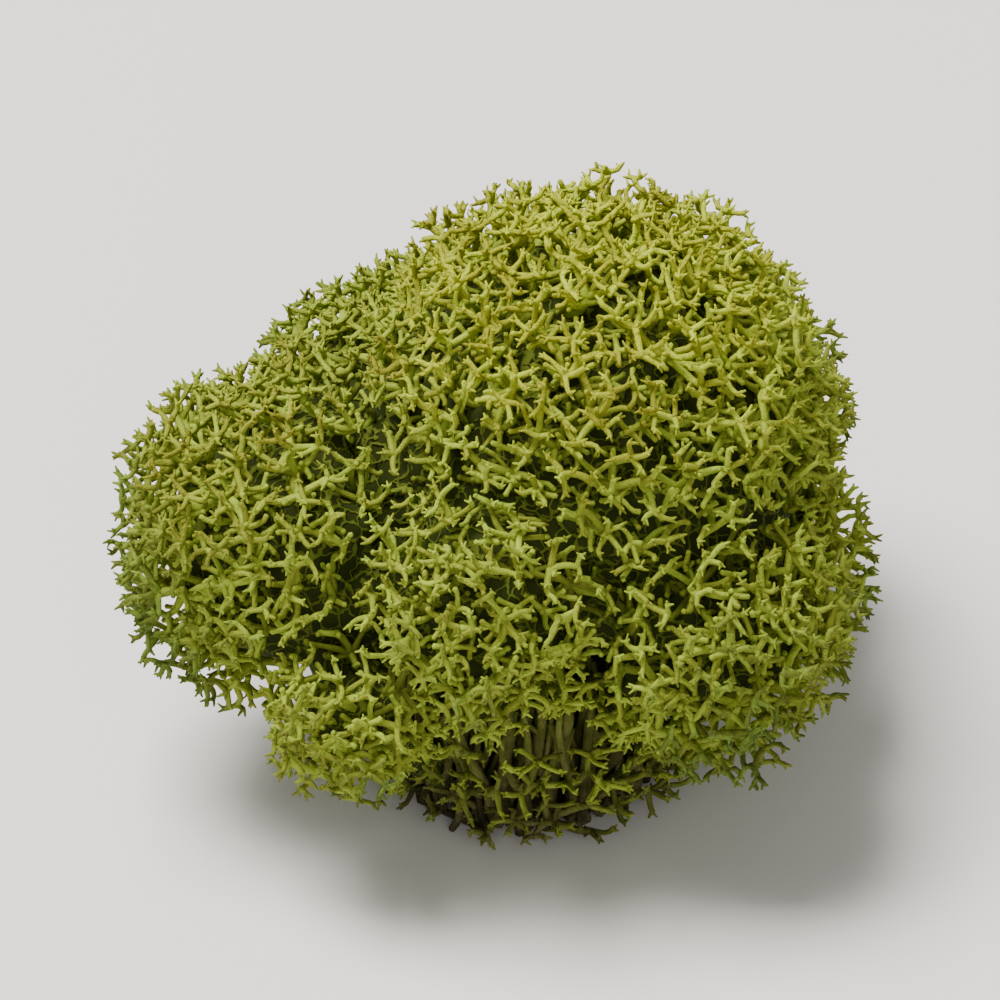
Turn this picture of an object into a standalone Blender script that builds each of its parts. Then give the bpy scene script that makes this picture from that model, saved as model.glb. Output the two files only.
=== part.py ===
"""Reindeer lichen clump: eight rounded heads of forked branchlets on a tuft of old stalks.

The clump stands on the flat foot of its stalk tuft. Origin at the middle of that foot, +Z up, metres.
Each head is one lichen body: stalks gather into a small core, and the core carries branchlets that end
in a star of short arms. Neighbouring heads press together on flat planes with a hair of clearance.
"""

import math
import random

import bmesh
import bpy
from mathutils import Matrix, Vector

MM = 0.001
SEED = 11
UP = Vector((0, 0, 1))

# Each head in millimetres: centre of its cushion, and radius out to the branch tips.
HEADS = {
    "crown_head": ((4.4, 1.6, 20.6), 13.5),
    "left_head": ((-11.4, -1.4, 16.2), 9.9),
    "front_head": ((-1.4, -9.0, 17.8), 7.6),
    "low_front_head": ((-8.2, -11.8, 10.8), 4.4),
    "right_head": ((10.4, -7.2, 14.8), 8.2),
    "right_side_head": ((12.8, 2.6, 11.2), 6.5),
    "back_left_head": ((-5.8, 8.8, 16.2), 9.2),
    "back_right_head": ((9.4, 11.0, 15.0), 9.2),
}

# The stalk tuft: a plug of stalks matted together, with a flat cut foot.
FOOT_RADIUS = 7.6
TUFT_TOP_RADIUS = 7.9
TUFT_HEIGHT = 14.0
PLUG_STALKS = 19  # stalks that show as ribs around the plug
SIDES_PER_RIB = 4
RIB_HEIGHT = 0.11  # share of the radius by which a rib stands out
PLUG_WOBBLE = 0.06  # share of the radius by which the plug's outline runs in and out
PLUG_WAVES = ((3, 0.6, 1.0), (5, 0.0, 0.5))  # waves around the plug: count, phase and strength
PLUG_TWIST = 0.35  # radians by which the ribs wind around the plug
# Sphere that sets where the tuft ends and each head begins.
TUFT_SPHERE = ((0.0, 0.5, -4.0), 12.2)

CLEARANCE = 0.3  # between neighbouring solids
BRANCHLET_LENGTH = 3.1  # from a head's core out to the branch tips
CORE_LEAST = 0.58  # smallest core, as a share of the head's radius
CORE_WOBBLE = 0.05  # share of the radius by which the core's surface is uneven
CORE_NECK = 1.1  # how far the core's neck reaches towards the foot, in core radii
CORE_SUBDIVISIONS = 3
CREASE = 1.3  # how far a core stays back from the plane where two heads meet
BASE_DROP = 0.25  # how far below a head's middle its branches spring from, in head radii
BASE_INSET = 0.30  # least distance of that point from the head's planes, in head radii

# A branchlet: a short stem that ends in a star of arms.
BRANCHLET_SPACING = 3.7  # between neighbouring branchlets on a head's surface
FEWEST_DIRECTIONS = 25  # places for branchlets around a small head
ARMS = 3
ARM_SPREAD = 1.55  # sideways reach of an arm's tip from its branchlet's middle
ARM_SPREAD_RANGE = (0.8, 1.2)  # by which single arms reach less or more
ARM_LENGTH = 1.5  # from the fork out to the tips, along the branchlet
SHORTEST_STEM = 0.8  # from root to fork
STEM_RADIUS = 0.62
FORK_RADIUS = 0.72
TIP_SCALE = 0.62  # size of an arm's end against its start
FORK_RISE = 0.25  # how far the middle of the star is domed
ROOT_SHARE = 0.35  # where a branchlet's root lies on its way out from the head's base point
TIP_JITTER = 0.04  # share of the radius by which branchlets stand out unevenly
DEEPEST_TIP = 3.1  # branchlets in a crease between heads stop this far below the surface
LOWEST_FACING = -0.55  # below this direction a head shows stalks in place of branchlets
FLOOR_MARGIN = 0.6  # branches stay this far above the floor
BEND_ROUNDS = 4  # passes over the planes that bring a point inside all of them

# Stalks under each head, which run from its flanks down to the tuft. Rings and depths are in core radii.
HEAD_STALK_SPACING = 3.0
HEAD_STALK_RADIUS = 0.6
HEAD_STALK_SIDES = 4
HEAD_STALK_STRAY = 0.3  # share of their spacing by which stalks stand unevenly
UPPER_RING = (0.88, 0.30)  # where stalks leave the core: radius, and depth below the head's middle
LOWER_RING = (0.50, 2.20)  # what they draw together to

# Single forked stalks that stand out of the tuft.
TUFT_STALKS = 28
TUFT_STALK_LENGTH = (3.2, 6.0)
TUFT_STALK_LEAN = (0.45, 1.1)  # sideways travel for each unit of height
TUFT_STALK_ROOTS = (1.0, 4.6)  # heights at which they leave the plug

GOLDEN_ANGLE = math.pi * (3 - math.sqrt(5))


def millimetres(values):
    """A point given in millimetres, as a vector in metres."""
    return Vector(values) * MM


def clear_scene():
    for obj in list(bpy.data.objects):
        bpy.data.objects.remove(obj)


def lichen_material(name, colour, roughness):
    material = bpy.data.materials.new(name)
    material.use_nodes = True
    shader = material.node_tree.nodes["Principled BSDF"]
    shader.inputs["Base Color"].default_value = (*colour, 1.0)
    shader.inputs["Roughness"].default_value = roughness
    shader.inputs["Metallic"].default_value = 0.0
    return material


def spheres():
    """Every head's sphere and the tuft's, as name: (centre, radius) in metres."""
    found = {name: (millimetres(centre), radius * MM) for name, (centre, radius) in HEADS.items()}
    found["stalk_tuft"] = (millimetres(TUFT_SPHERE[0]), TUFT_SPHERE[1] * MM)
    return found


def floor_plane():
    """The plane that branches stay above, as (point, outward normal)."""
    return UP * FLOOR_MARGIN * MM, -UP


def core_size(radius):
    """Radius of the core of a head with this outer radius."""
    return max(radius - BRANCHLET_LENGTH * MM, radius * CORE_LEAST)


def dividing_planes(name, crease=0.0):
    """Planes on which this piece meets each other piece, as (point, outward normal).

    Two spheres meet on the plane of their common circle. The plane is drawn back by half the clearance,
    and by the crease as well where two heads meet.
    """
    centre, radius = spheres()[name]
    planes = []
    for other, (other_centre, other_radius) in spheres().items():
        if other == name:
            continue
        normal = other_centre - centre
        distance = normal.length
        normal.normalize()
        along = (distance**2 + radius**2 - other_radius**2) / (2 * distance)
        drawn_back = CLEARANCE / 2 + (0.0 if other == "stalk_tuft" else crease)
        planes.append((centre + normal * (along - drawn_back * MM), normal))
    return planes


def overshoot(point, planes):
    """How far a point lies past the planes around its piece; negative inside."""
    return max((point - place).dot(normal) for place, normal in planes)


def reach_inside(start, direction, limit, planes, margin):
    """How far one can go from start along direction and still be a margin inside every plane."""
    reach = limit
    for place, normal in planes:
        towards = direction.dot(normal)
        if towards > 1e-6:
            reach = min(reach, ((place - start).dot(normal) - margin) / towards)
    return reach


def bend_clear(point, planes, margin):
    """Moves a point back inside the planes, a margin away from each."""
    point = point.copy()
    for _ in range(BEND_ROUNDS):
        for place, normal in planes:
            beyond = (point - place).dot(normal) + margin
            if beyond > 0:
                point -= normal * beyond
    return point


def base_point(name, planes):
    """Where a head's branches spring from: below its middle and well inside its planes."""
    centre, radius = spheres()[name]
    to_foot = -centre.normalized()
    return bend_clear(centre + to_foot * BASE_DROP * radius, planes, BASE_INSET * radius)


def mesh_object(name, bm, collection):
    mesh = bpy.data.meshes.new(name)
    bm.to_mesh(mesh)
    bm.free()
    obj = bpy.data.objects.new(name, mesh)
    collection.objects.link(obj)
    return obj


def new_collection(name, parent):
    collection = bpy.data.collections.new(name)
    parent.children.link(collection)
    return collection


def trim_to_planes(bm, planes):
    """Cuts a rounded solid along each plane and closes the cut."""
    for place, normal in planes:
        geometry = bm.verts[:] + bm.edges[:] + bm.faces[:]
        bmesh.ops.bisect_plane(
            bm, geom=geometry, dist=1e-7, plane_co=place, plane_no=normal, clear_outer=True
        )
        open_edges = [edge for edge in bm.edges if edge.is_boundary]
        if open_edges:
            bmesh.ops.edgeloop_fill(bm, edges=open_edges)
    bmesh.ops.recalc_face_normals(bm, faces=bm.faces)


def head_core(name, draw, collection):
    """An uneven ball with a neck drawn out towards the foot, trimmed where it meets its neighbours."""
    centre, radius = spheres()[name]
    to_foot = -centre.normalized()
    core_radius = core_size(radius)
    bm = bmesh.new()
    bmesh.ops.create_icosphere(bm, subdivisions=CORE_SUBDIVISIONS, radius=1.0)
    for vert in bm.verts:
        direction = vert.co.normalized()
        towards_foot = max(0.0, direction.dot(to_foot))
        uneven = 1 + draw.uniform(-CORE_WOBBLE, CORE_WOBBLE)
        vert.co = centre + (direction * uneven + to_foot * CORE_NECK * towards_foot**3) * core_radius
    trim_to_planes(bm, dividing_planes(name, CREASE))
    return mesh_object(name, bm, collection)


def placed_along(start, end, twist):
    """Matrix that lays an upright shape between two points and turns it about its axis."""
    axis = end - start
    turn = axis.to_track_quat("Z", "Y").to_matrix().to_4x4()
    return Matrix.Translation((start + end) / 2) @ turn @ Matrix.Rotation(twist, 4, "Z")


def stem_mesh(start, end, start_radius, end_radius, sides, twist):
    """A closed tapered rod between two points."""
    bm = bmesh.new()
    bmesh.ops.create_cone(
        bm,
        cap_ends=True,
        segments=sides,
        radius1=start_radius,
        radius2=end_radius,
        depth=(end - start).length,
        matrix=placed_along(start, end, twist),
    )
    return bm


def branchlet(root, fork, arm_length, planes, draw, collection):
    """A stem whose end is poked into one triangle for each arm, and each triangle drawn out to a tip."""
    margin = FORK_RADIUS * MM
    axis = (fork - root).normalized()
    twist = draw.uniform(0, 2 * math.pi)
    bm = stem_mesh(root, fork, STEM_RADIUS * MM, FORK_RADIUS * MM, ARMS, twist)
    end_face = max(bm.faces, key=lambda face: face.calc_center_median().dot(axis))
    star = bmesh.ops.poke(bm, faces=[end_face], offset=FORK_RISE * MM)["faces"]
    for face in bmesh.ops.extrude_discrete_faces(bm, faces=star)["faces"]:
        middle = face.calc_center_median()
        sideways = middle - fork
        sideways = (sideways - axis * sideways.dot(axis)).normalized()
        spread = ARM_SPREAD * MM * draw.uniform(*ARM_SPREAD_RANGE)
        tip = bend_clear(fork + axis * arm_length + sideways * spread, planes, margin)
        along = (tip - middle).normalized()
        for vert in face.verts:
            offset = vert.co - middle
            vert.co = tip + (offset - along * offset.dot(along)) * TIP_SCALE
    bmesh.ops.recalc_face_normals(bm, faces=bm.faces)
    return mesh_object("branchlet", bm, collection)


def surface_directions(radius, spacing):
    """Evenly spread directions: a golden-angle spiral with about one per square of the spacing."""
    count = max(FEWEST_DIRECTIONS, round(4 * math.pi * radius**2 / spacing**2))
    for i in range(count):
        up = 1 - 2 * (i + 0.5) / count
        ring = math.sqrt(1 - up * up)
        turn = GOLDEN_ANGLE * i
        yield Vector((ring * math.cos(turn), ring * math.sin(turn), up))


def add_branchlets(name, planes, draw, collection):
    """Branchlets over a head's outside. In a crease they are shorter, and deep inside it there are none."""
    centre, radius = spheres()[name]
    base = base_point(name, planes)
    for direction in surface_directions(radius, BRANCHLET_SPACING * MM):
        if direction.z < LOWEST_FACING:
            continue
        outside = centre + direction * radius * (1 + draw.uniform(-TIP_JITTER, TIP_JITTER))
        way_out = (outside - base).normalized()
        full = (outside - base).length
        reach = reach_inside(base, way_out, full, planes, FORK_RADIUS * MM)
        root = base + way_out * reach * ROOT_SHARE
        fork = base + way_out * (reach - ARM_LENGTH * MM)
        long_enough = (fork - root).dot(way_out) > SHORTEST_STEM * MM
        if long_enough and reach > full - DEEPEST_TIP * MM:
            branchlet(root, fork, ARM_LENGTH * MM, planes, draw, collection)


def add_head_stalks(name, planes, draw, collection):
    """Bare stalks that leave the head's flanks and draw together as they go down to the tuft."""
    centre, radius = spheres()[name]
    core_radius = core_size(radius)
    to_foot = -centre.normalized()
    side = to_foot.orthogonal().normalized()
    stalk_radius = HEAD_STALK_RADIUS * MM
    count = round(2 * math.pi * core_radius * UPPER_RING[0] / (HEAD_STALK_SPACING * MM))
    for i in range(count):
        turn = (i + draw.uniform(-HEAD_STALK_STRAY, HEAD_STALK_STRAY)) * 2 * math.pi / count
        outward = side.copy()
        outward.rotate(Matrix.Rotation(turn, 3, to_foot))
        top = centre + (outward * UPPER_RING[0] + to_foot * UPPER_RING[1]) * core_radius
        aim = centre + (outward * LOWER_RING[0] + to_foot * LOWER_RING[1]) * core_radius
        direction = (aim - top).normalized()
        if overshoot(top, planes) > -stalk_radius:
            continue
        length = reach_inside(top, direction, radius * 2, planes, stalk_radius)
        if length > core_radius / 2:
            foot = top + direction * length
            bm = stem_mesh(top, foot, stalk_radius, stalk_radius, HEAD_STALK_SIDES, turn)
            mesh_object("head_stalk", bm, collection)


def join_all(base, repeats):
    """Fuses a collection of repeats onto a solid, then removes them."""
    union = base.modifiers.new("fuse_repeats", "BOOLEAN")
    union.operation = "UNION"
    union.operand_type = "COLLECTION"
    union.collection = repeats
    union.solver = "EXACT"
    graph = bpy.context.evaluated_depsgraph_get()
    fused = bpy.data.meshes.new_from_object(base.evaluated_get(graph))
    base.modifiers.clear()
    base.data = fused
    for repeat in list(repeats.objects):
        bpy.data.objects.remove(repeat)
    bpy.data.collections.remove(repeats)
    keep_outer_body(base)


def keep_outer_body(obj):
    """Keeps the largest connected body and drops sealed hollows and loose scraps."""
    bm = bmesh.new()
    bm.from_mesh(obj.data)
    unseen = set(bm.faces)
    bodies = []
    while unseen:
        stack = [unseen.pop()]
        body = set(stack)
        while stack:
            face = stack.pop()
            for edge in face.edges:
                for neighbour in edge.link_faces:
                    if neighbour in unseen:
                        unseen.discard(neighbour)
                        body.add(neighbour)
                        stack.append(neighbour)
        bodies.append(body)
    largest = max(bodies, key=len)
    scraps = [face for face in bm.faces if face not in largest]
    bmesh.ops.delete(bm, geom=scraps, context="FACES")
    bm.to_mesh(obj.data)
    bm.free()


def build_head(name, clump, material, draw):
    planes = dividing_planes(name) + [floor_plane()]
    head = head_core(name, draw, clump)
    head.data.materials.append(material)
    repeats = new_collection(name + "_repeats", bpy.context.scene.collection)
    add_branchlets(name, planes, draw, repeats)
    add_head_stalks(name, planes, draw, repeats)
    join_all(head, repeats)
    return head


def tuft_plug(collection):
    """A ribbed plug with a flat foot, trimmed where it meets the heads. Each rib is one matted stalk."""
    bm = bmesh.new()
    bmesh.ops.create_cone(
        bm,
        cap_ends=True,
        segments=PLUG_STALKS * SIDES_PER_RIB,
        radius1=FOOT_RADIUS * MM,
        radius2=TUFT_TOP_RADIUS * MM,
        depth=TUFT_HEIGHT * MM,
        matrix=Matrix.Translation(UP * TUFT_HEIGHT * MM / 2),
    )
    for vert in bm.verts:
        turn = math.atan2(vert.co.y, vert.co.x)
        rib = abs(math.sin(turn * PLUG_STALKS / 2))
        wave = sum(strength * math.sin(n * turn + phase) for n, phase, strength in PLUG_WAVES)
        outline = 1 + RIB_HEIGHT * rib + PLUG_WOBBLE * wave
        vert.co.x *= outline
        vert.co.y *= outline
        if vert.co.z > TUFT_HEIGHT * MM / 2:
            vert.co.rotate(Matrix.Rotation(PLUG_TWIST, 3, UP))
    trim_to_planes(bm, dividing_planes("stalk_tuft"))
    return mesh_object("stalk_tuft", bm, collection)


def build_stalk_tuft(clump, material, draw):
    """Old stalks matted into a plug, with single forked stalks that lean out of it under the heads."""
    tuft = tuft_plug(clump)
    tuft.data.materials.append(material)
    planes = dividing_planes("stalk_tuft") + [floor_plane()]
    repeats = new_collection("tuft_stalks", bpy.context.scene.collection)
    for i in range(TUFT_STALKS):
        turn = GOLDEN_ANGLE * i
        outward = Vector((math.cos(turn), math.sin(turn), 0))
        root = outward * (FOOT_RADIUS - 2 * STEM_RADIUS) * MM + UP * draw.uniform(*TUFT_STALK_ROOTS) * MM
        direction = (UP + outward * draw.uniform(*TUFT_STALK_LEAN)).normalized()
        length = draw.uniform(*TUFT_STALK_LENGTH) * MM
        reach = reach_inside(root, direction, length, planes, FORK_RADIUS * MM)
        if reach < ARM_LENGTH * MM:
            continue
        arm_length = min(ARM_LENGTH * MM, reach / 3)
        fork = root + direction * (reach - arm_length)
        branchlet(root, fork, arm_length, planes, draw, repeats)
    join_all(tuft, repeats)
    return tuft


def main():
    clear_scene()
    clump = new_collection("reindeer_lichen_clump", bpy.context.scene.collection)
    green = lichen_material("dyed_lichen", (0.26, 0.31, 0.045), 0.85)
    brown = lichen_material("old_stalk", (0.12, 0.11, 0.045), 0.9)
    draw = random.Random(SEED)
    for name in HEADS:
        build_head(name, clump, green, draw)
    build_stalk_tuft(clump, brown, draw)


main()
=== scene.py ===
import math

import bpy
import numpy as np
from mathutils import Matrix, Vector


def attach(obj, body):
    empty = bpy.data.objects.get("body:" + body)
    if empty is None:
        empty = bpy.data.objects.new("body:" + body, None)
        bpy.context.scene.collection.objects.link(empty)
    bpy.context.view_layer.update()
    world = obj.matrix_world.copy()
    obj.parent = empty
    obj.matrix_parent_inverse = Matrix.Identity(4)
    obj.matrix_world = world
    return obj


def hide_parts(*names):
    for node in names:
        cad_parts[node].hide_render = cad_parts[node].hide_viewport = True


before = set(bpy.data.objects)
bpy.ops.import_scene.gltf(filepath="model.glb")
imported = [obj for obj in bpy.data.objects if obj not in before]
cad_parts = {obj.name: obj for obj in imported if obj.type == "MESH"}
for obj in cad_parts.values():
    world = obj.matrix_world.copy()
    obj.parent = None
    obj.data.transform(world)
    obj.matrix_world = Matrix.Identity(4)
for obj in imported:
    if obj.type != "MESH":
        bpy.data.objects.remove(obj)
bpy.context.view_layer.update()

mm = 0.001
random = np.random.default_rng(20)
up = np.array([0.0, 0.0, 1.0])

# The eight lichen heads, each where its solid is: middle and radius of its sphere, in mm
headSpheres = {
    "crown_head": (3.6, 1.4, 20.5, 13.9),
    "left_head": (-11.6, -1.4, 16.2, 10.1),
    "front_head": (-1.6, -9.1, 17.6, 7.6),
    "low_front_head": (-8.8, -11.1, 11.4, 5.0),
    "right_head": (9.9, -7.5, 14.6, 8.1),
    "right_side_head": (12.6, 2.6, 11.2, 6.6),
    "back_left_head": (-5.8, 9.2, 15.6, 8.9),
    "back_right_head": (9.0, 10.8, 14.8, 9.1),
}
tuftSphere = (0.0, 0.5, -4.0, 12.2)   # where the heads end and the tuft begins


# Small helpers on whole arrays

def unit(vectors):
    # Each vector over its own length
    return vectors / np.maximum(np.linalg.norm(vectors, axis=-1, keepdims=True), 1e-9)


def stray(count, amount):
    # Random vectors with this spread along each axis
    return random.normal(0.0, amount, (count, 3))


def ripple(points, size, seed, count=12, spread=(0.7, 1.5), gain=2.2):
    # Soft unevenness of about -1 to 1: gain * mean of sine waves, of about this size, in random directions
    waves = np.random.default_rng(seed)
    directions = unit(waves.normal(size=(count, 3)))
    lengths = size * waves.uniform(*spread, count)
    phases = waves.uniform(0, 2 * math.pi, count)
    angles = points @ (directions * 2 * math.pi / lengths[:, None]).T + phases
    return np.sin(angles).mean(axis=1) * gain


def smoothStep(values, low, high):
    # 0 below low, 1 above high, and the cubic 3t^2 - 2t^3 between them
    share = np.clip((values - low) / (high - low), 0.0, 1.0)
    return share * share * (3 - 2 * share)


def pairSquares(a, b):
    # Squared distance from each point of a to each point of b: |a|^2 + |b|^2 - 2 a.b
    a = a.astype(np.float32)
    b = b.astype(np.float32)
    return (a * a).sum(axis=1)[:, None] + (b * b).sum(axis=1)[None] - 2 * a @ b.T


def goldenTurns(count):
    # Angles that each turn on by the golden angle, pi * (3 - root of 5)
    return np.arange(count) * math.pi * (3 - math.sqrt(5))


def spotsOn(area, spacing):
    # How many spots this far apart fill an area, each with 0.866 * spacing ^ 2 of it
    return int(area / (0.866 * spacing ** 2))


def evenSpots(points, spacing):
    # Picks points at least this far apart. Each has a random rank: one is taken when no free point within
    # reach outranks it, and the points round it are dropped. A few rounds settle them all
    rank = random.permutation(len(points)).astype(np.int32)
    close = pairSquares(points, points) < spacing ** 2
    np.fill_diagonal(close, False)
    free = np.ones(len(points), bool)
    taken = np.zeros(len(points), bool)
    while free.any():
        rivals = np.where(close & free[None], rank[None], -1).max(axis=1)
        winners = free & (rank > rivals)
        taken |= winners
        free &= ~winners & ~close[:, winners].any(axis=1)
    return np.flatnonzero(taken)


def groupMeans(numbers, groups, count):
    # Mean of the rows in each group
    totals = np.stack([np.bincount(groups, column, count) for column in numbers.T], axis=1)
    return totals / np.bincount(groups, minlength=count)[:, None]


# The envelope that the branch tips reach

envelope = {
    "softness": 0.95,      # mm by which two lobes run into each other
    "shadeSoftness": 3.0,  # the same for the tone: painted shade, darker in the creases
    "rippleSize": 7.0,     # mm between the low swells on a head
    "rippleDepth": 0.45,   # mm
    "cushion": 4.6,        # mm between the small cushions that tips stand in
    "bulge": 0.8,          # mm from a cushion's middle down to its edge
    "edge": 1.2,           # share of its half width where it stops sinking
    "rise": 0.35,          # mm by which a cushion's middle stands out of the spheres
    "planeGap": 0.1,       # mm kept from the plane where two heads meet
    "creaseWidth": 2.0,    # mm on each side of that plane over which tips sink
    "crease": 1.1,         # mm by which they sink at the plane
    "creaseStray": 0.6,    # mm by which the deepest line wanders off the plane
    "searchSteps": 8,      # rounds in which a surface is found
    "searchShare": 0.9,    # part of the distance left that a round takes
}

# Heads that run into each other with less of a crease, as a share of it
shallowCreases = {
    ("crown_head", "front_head"): 0.25,
    ("crown_head", "right_head"): 0.5,
    ("front_head", "right_head"): 0.6,
    ("front_head", "low_front_head"): 0.5,
    ("right_head", "right_side_head"): 0.4,
    ("crown_head", "right_side_head"): 0.4,
    ("crown_head", "back_left_head"): 0.5,
    ("left_head", "back_left_head"): 0.5,
    ("left_head", "low_front_head"): 0.4,
}


def sphereOf(name):
    # A head's middle and its radius
    return np.array(headSpheres[name][:3]), headSpheres[name][3]


def dividingPlanes(name):
    # Two spheres meet on the plane of their common circle: its normal and its distance from the head's middle
    own = np.array(headSpheres[name])
    others = np.array([sphere for other, sphere in headSpheres.items() if other != name] + [tuftSphere])
    between = others[:, :3] - own[:3]
    apart = np.linalg.norm(between, axis=1)
    along = (apart ** 2 + own[3] ** 2 - others[:, 3] ** 2) / (2 * apart)
    near = apart < own[3] + others[:, 3]
    return between[near] / apart[near, None], along[near]


def creaseDepth(points, name):
    # How far tips at these points sink for the creases round their head
    own = np.array(headSpheres[name])
    sunk = np.zeros(len(points))
    for other, sphere in headSpheres.items():
        between = np.array(sphere[:3]) - own[:3]
        apart = np.linalg.norm(between)
        if 0 < apart < own[3] + sphere[3]:
            along = (apart ** 2 + own[3] ** 2 - sphere[3] ** 2) / (2 * apart)
            inside = along - (points - own[:3]) @ (between / apart)
            inside = inside + envelope["creaseStray"] * ripple(points, size=6.0, seed=21)
            share = shallowCreases.get((name, other), shallowCreases.get((other, name), 1.0))
            near = 1 - smoothStep(inside, 0.0, envelope["creaseWidth"])
            sunk = np.maximum(sunk, share * envelope["crease"] * near)
    return sunk


def overPlanes(points, name):
    # How far each point lies beyond the nearest dividing plane, less than zero on the head's own side
    normals, along = dividingPlanes(name)
    middle = sphereOf(name)[0]
    return ((points - middle) @ normals.T - along).max(axis=1)


def softUnion(points, k=envelope["softness"]):
    # Distance to all the heads' spheres run into each other, -k ln(sum of exp(-distance / k)), and the way
    # out: the mean of the ways from their middles, weighed by the same powers
    spheres = np.array(list(headSpheres.values()))
    fromMiddles = points[:, None] - spheres[:, :3]
    lengths = np.linalg.norm(fromMiddles, axis=2)
    powers = np.exp(-(lengths - spheres[:, 3]) / k)
    ways = (fromMiddles / np.maximum(lengths, 1e-6)[..., None] * powers[..., None]).sum(axis=1)
    return -k * np.log(powers.sum(axis=1)), unit(ways)


def onEnvelope(directions, name):
    # Points of the envelope in these directions from the head's middle, reached in steps of the distance left
    middle, radius = sphereOf(name)
    reach = np.full(len(directions), radius)
    for step in range(envelope["searchSteps"]):
        reach = reach - softUnion(middle + directions * reach[:, None])[0] * envelope["searchShare"]
    points = middle + directions * reach[:, None]
    outward = softUnion(points)[1]
    swell = ripple(points, envelope["rippleSize"], seed=5) * envelope["rippleDepth"]
    inFree = smoothStep(reach, radius + 1.0, radius)   # valleys stay filled
    return points + outward * (swell * inFree + envelope["rise"])[:, None], outward


def spiral(count, scatter):
    # Directions on a golden-angle spiral, at heights in equal steps, moved at random by this share of
    # their spacing
    heights = 1 - 2 * (np.arange(count) + 0.5) / count
    turns = goldenTurns(count)
    across = np.sqrt(1 - heights ** 2)
    directions = np.stack([across * np.cos(turns), across * np.sin(turns), heights], axis=1)
    return unit(directions + stray(count, scatter * math.sqrt(4 * math.pi / count)))


# Tubes and closed forms

def curvePaths(starts, startPulls, endPulls, ends, rings):
    # Cubic Bezier curves, as rings points from start to end
    t = np.linspace(0, 1, rings)[None, :, None]
    return ((1 - t) ** 3 * starts[:, None] + 3 * (1 - t) ** 2 * t * startPulls[:, None]
            + 3 * (1 - t) * t ** 2 * endPulls[:, None] + t ** 3 * ends[:, None])


def crossways(ways):
    # Two unit vectors square to each way and to each other
    helper = np.where(np.abs(ways[..., 2:]) < 0.8, up, np.array([1.0, 0.0, 0.0]))
    across = unit(np.cross(ways, helper))
    return across, np.cross(ways, across)


def tubes(paths, radii, sides, values, cap=0.6):
    # Rings of points round each path point, radius * (cos * across + sin * above), and a pole beyond each end
    # by cap times the radius. values holds numbers for the path points, or one that they share, by name
    count, rings = radii.shape
    along = unit(np.gradient(paths, axis=1))
    reference = crossways(unit(along.mean(axis=1)))[0][:, None]
    across = unit(reference - along * (reference * along).sum(axis=2, keepdims=True))
    above = np.cross(along, across)
    turn = 2 * math.pi * np.arange(sides) / sides + random.uniform(0, math.pi, (count, 1))
    cosines = np.cos(turn)[:, None, :, None]
    sines = np.sin(turn)[:, None, :, None]
    sideways = cosines * across[:, :, None] + sines * above[:, :, None]
    ring = paths[:, :, None] + radii[:, :, None, None] * sideways
    firstPole = paths[:, :1] - along[:, :1] * radii[:, :1, None] * cap
    lastPole = paths[:, -1:] + along[:, -1:] * radii[:, -1:, None] * cap
    points = np.concatenate([ring.reshape(count, rings * sides, 3), firstPole, lastPole], axis=1)
    base = (np.arange(count) * (rings * sides + 2))[:, None, None]
    i = np.arange(rings - 1)[:, None] * sides
    j = np.arange(sides)
    k = (j + 1) % sides
    quads = np.stack([i + j, i + k, i + sides + k, i + sides + j], axis=-1).reshape(-1, 4)
    last = (rings - 1) * sides
    firstFan = np.stack([np.full(sides, rings * sides), k, j], axis=-1)
    lastFan = np.stack([np.full(sides, rings * sides + 1), last + j, last + k], axis=-1)
    spread = {}
    for name, numbers in values.items():
        numbers = np.broadcast_to(numbers, radii.shape)
        onRings = np.repeat(numbers, sides, axis=1)
        spread[name] = np.concatenate([onRings, numbers[:, :1], numbers[:, -1:]], axis=1).ravel()
    return {"points": points.reshape(-1, 3), "quads": (base + quads).reshape(-1, 4),
            "triangles": (base + np.concatenate([firstFan, lastFan])).reshape(-1, 3), "values": spread}


def ball(reach, around, down, values):
    # A closed form on a grid of longitude and latitude: reach gives the point in each direction
    turns = 2 * math.pi * np.arange(around) / around
    falls = math.pi * np.arange(1, down) / down
    grid = np.stack([np.sin(falls)[:, None] * np.cos(turns), np.sin(falls)[:, None] * np.sin(turns),
                     np.cos(falls)[:, None] * np.ones(around)], axis=-1).reshape(-1, 3)
    rows = (np.arange(down - 2) * around)[:, None]
    j = np.arange(around)
    k = (j + 1) % around
    quads = np.stack([rows + j, rows + around + j, rows + around + k, rows + k], axis=-1).reshape(-1, 4)
    topFan = np.stack([np.full(around, len(grid)), j, k], axis=-1)
    last = (down - 2) * around
    lowFan = np.stack([np.full(around, len(grid) + 1), last + k, last + j], axis=-1)
    points = reach(np.concatenate([grid, [up, -up]]))
    spread = {name: np.full(len(points), value) for name, value in values.items()}
    return {"points": points, "quads": quads, "triangles": np.concatenate([topFan, lowFan]), "values": spread}


olivePatches = (
    # browner patches of the lichen: middle and size in mm, and strength
    ((-11.0, -1.0, 25.5), 4.4, 0.75),
    ((6.0, -7.0, 28.0), 3.0, 0.15),
    ((12.0, 12.0, 22.0), 4.0, 0.35),
)


def addObject(name, data):
    added = bpy.data.objects.new(name, data)
    bpy.context.scene.collection.objects.link(added)
    return added


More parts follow.
